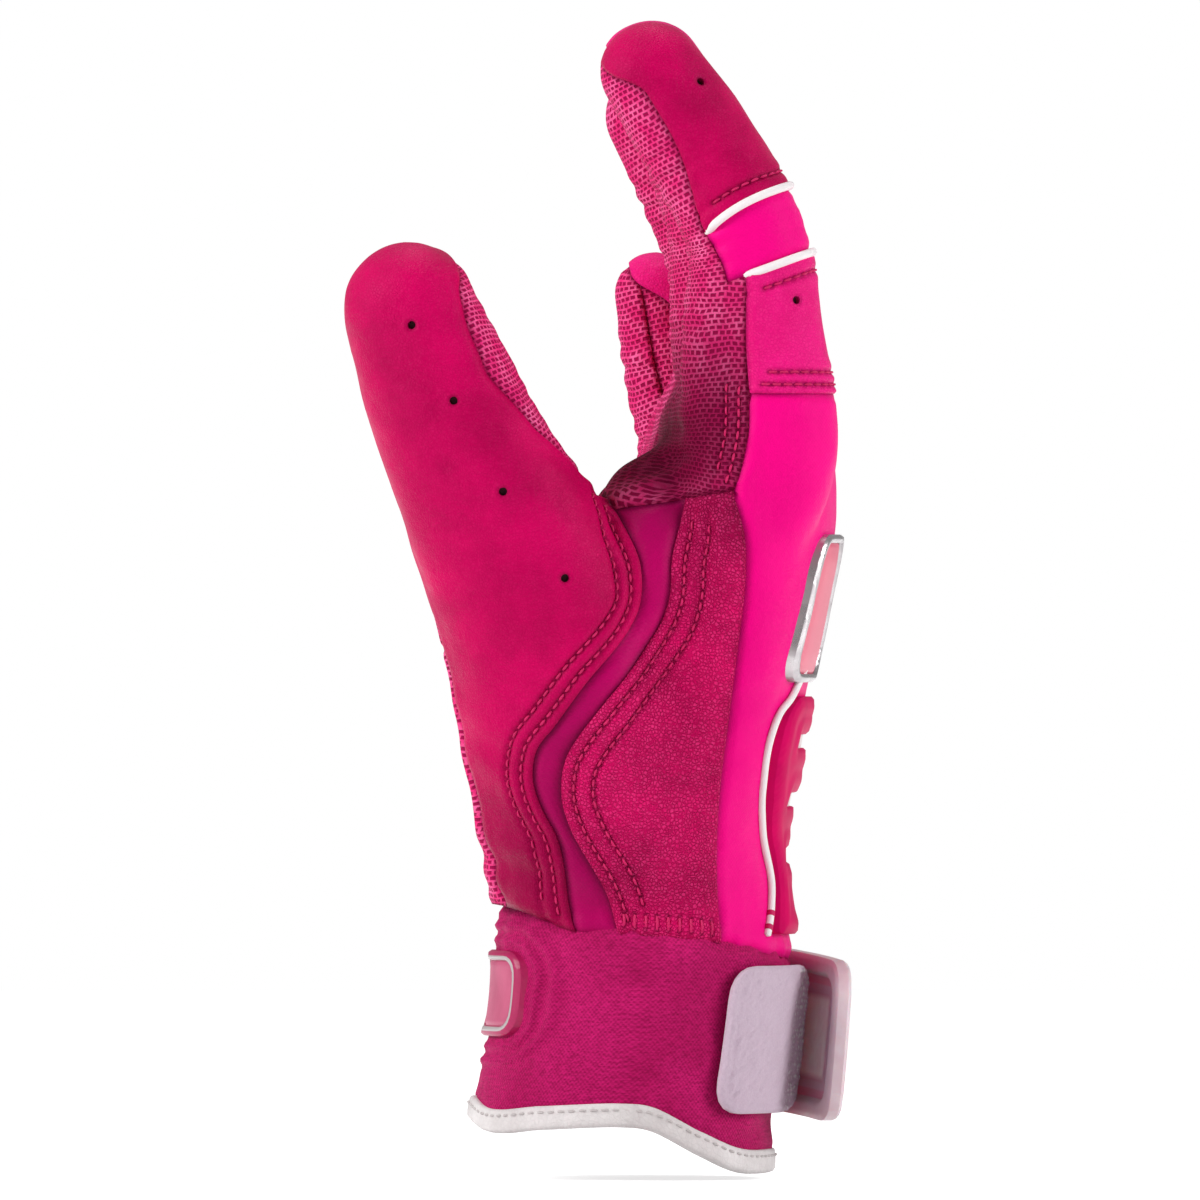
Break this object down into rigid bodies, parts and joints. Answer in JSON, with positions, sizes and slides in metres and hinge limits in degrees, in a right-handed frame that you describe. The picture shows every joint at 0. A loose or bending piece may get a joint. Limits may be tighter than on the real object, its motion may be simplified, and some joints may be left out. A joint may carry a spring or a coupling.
{
  "type": "batting glove",
  "caption": "Right-hand leather and stretch-cloth batting glove on a bent hand form, with a knit cuff, moulded wrist panel, bare badge and hook-and-loop wrist strap.",
  "frame": {"origin": "centre of the wrist opening, level with the lowest point of the cuff", "axes": "+Z to the fingertips, +X out of the back of the hand, -Y out of the thumb side"},
  "size_m": [0.0945, 0.0887, 0.2161],
  "materials": {
    "leather_smooth": "smooth sheepskin-like leather, semi-matt",
    "leather_grip": "net-grained grip leather, matt",
    "leather_grain": "pebble-grained leather, satin",
    "stretch_cloth": "smooth elastane knit, matt",
    "gusset_cloth": "elastane knit, satin",
    "piping_white": "piping covered in coated cloth, satin",
    "underlay_cloth": "white woven backing, matt",
    "binding_tape": "woven tape, stitched",
    "cuff_knit": "melange rib knit, matt",
    "panel_rubber": "moulded rubber, satin",
    "strap_rubber": "translucent moulded rubber, gloss",
    "loop_tape": "loop side of a hook-and-loop tape",
    "hook_tape": "hook side of a hook-and-loop tape",
    "trim_silver": "moulded trim with a silver film",
    "trim_pink": "bare moulded plate"
  },
  "bodies": {
    "glove_body": {"index_knuckle_gusset": "stretch_cloth", "index_crease": "leather_grip", "index_lower_piping": "piping_white", "middle_knuckle_gusset": "stretch_cloth", "middle_crease": "leather_grip", "middle_lower_piping": "piping_white", "ring_knuckle_gusset": "stretch_cloth", "ring_crease": "leather_grip", "ring_lower_piping": "piping_white", "little_knuckle_gusset": "stretch_cloth", "little_crease": "leather_grip", "little_lower_piping": "piping_white", "thumb_flex_back": "leather_smooth", "thumb_flex_front": "leather_grip", "thumb_back": "leather_smooth", "thumb_front": "leather_grip", "palm_wrap": "leather_grain", "thumb_gusset": "gusset_cloth", "fourchette_index_middle": "stretch_cloth", "fourchette_middle_ring": "stretch_cloth", "fourchette_ring_little": "stretch_cloth", "index_base_back": "leather_smooth", "middle_base_back": "leather_smooth", "ring_base_back": "leather_smooth", "little_base_back": "leather_smooth", "hand_back": "stretch_cloth", "palm": "leather_grip", "wrist_underlay": "underlay_cloth", "wrist_panel": "panel_rubber", "radial_back_piping": "piping_white", "ulnar_back_piping": "piping_white", "badge_frame": "trim_silver", "badge_insert": "trim_pink", "cuff": "cuff_knit", "cuff_binding": "binding_tape", "patch_frame": "trim_silver", "patch_insert": "trim_pink", "loop_pad": "loop_tape"},
    "index_tip": {"index_tip_back": "leather_smooth", "index_tip_front": "leather_grip", "index_upper_piping": "piping_white"},
    "middle_tip": {"middle_tip_back": "leather_smooth", "middle_tip_front": "leather_grip", "middle_upper_piping": "piping_white"},
    "ring_tip": {"ring_tip_back": "leather_smooth", "ring_tip_front": "leather_grip", "ring_upper_piping": "piping_white"},
    "little_tip": {"little_tip_back": "leather_smooth", "little_tip_front": "leather_grip", "little_upper_piping": "piping_white"},
    "thumb_tip": {"thumb_tip_back": "leather_smooth", "thumb_tip_front": "leather_grip"},
    "strap": {"strap": "strap_rubber", "hook_tab": "hook_tape"}
  },
  "joints": [
    {"name": "index_bend", "type": "hinge", "parent": "glove_body", "child": "index_tip", "pos_m": [0.02336, -0.03054, 0.17444], "axis": [0, -1, 0], "range_deg": [-20, 70], "deforming": ["index_knuckle_gusset", "index_crease"]},
    {"name": "middle_bend", "type": "hinge", "parent": "glove_body", "child": "middle_tip", "pos_m": [0.01991, -0.01005, 0.17664], "axis": [0, -1, 0], "range_deg": [-20, 70], "deforming": ["middle_knuckle_gusset", "middle_crease"]},
    {"name": "ring_bend", "type": "hinge", "parent": "glove_body", "child": "ring_tip", "pos_m": [0.01954, 0.01046, 0.17205], "axis": [0, -1, 0], "range_deg": [-20, 70], "deforming": ["ring_knuckle_gusset", "ring_crease"]},
    {"name": "little_bend", "type": "hinge", "parent": "glove_body", "child": "little_tip", "pos_m": [0.01271, 0.02993, 0.13921], "axis": [0, -1, 0], "range_deg": [-12, 75], "deforming": ["little_knuckle_gusset", "little_crease"]},
    {"name": "thumb_bend", "type": "hinge", "parent": "glove_body", "child": "thumb_tip", "pos_m": [-0.0313, -0.03593, 0.14066], "axis": [-0.9037, 0.2253, -0.3642], "range_deg": [-15, 60], "deforming": ["thumb_flex_back", "thumb_flex_front"]},
    {"name": "strap_peel", "type": "hinge", "parent": "glove_body", "child": "strap", "pos_m": [0.01254, 0.03317, 0.0272], "axis": [0, 0, 1], "range_deg": [0, 100]}
  ]
}
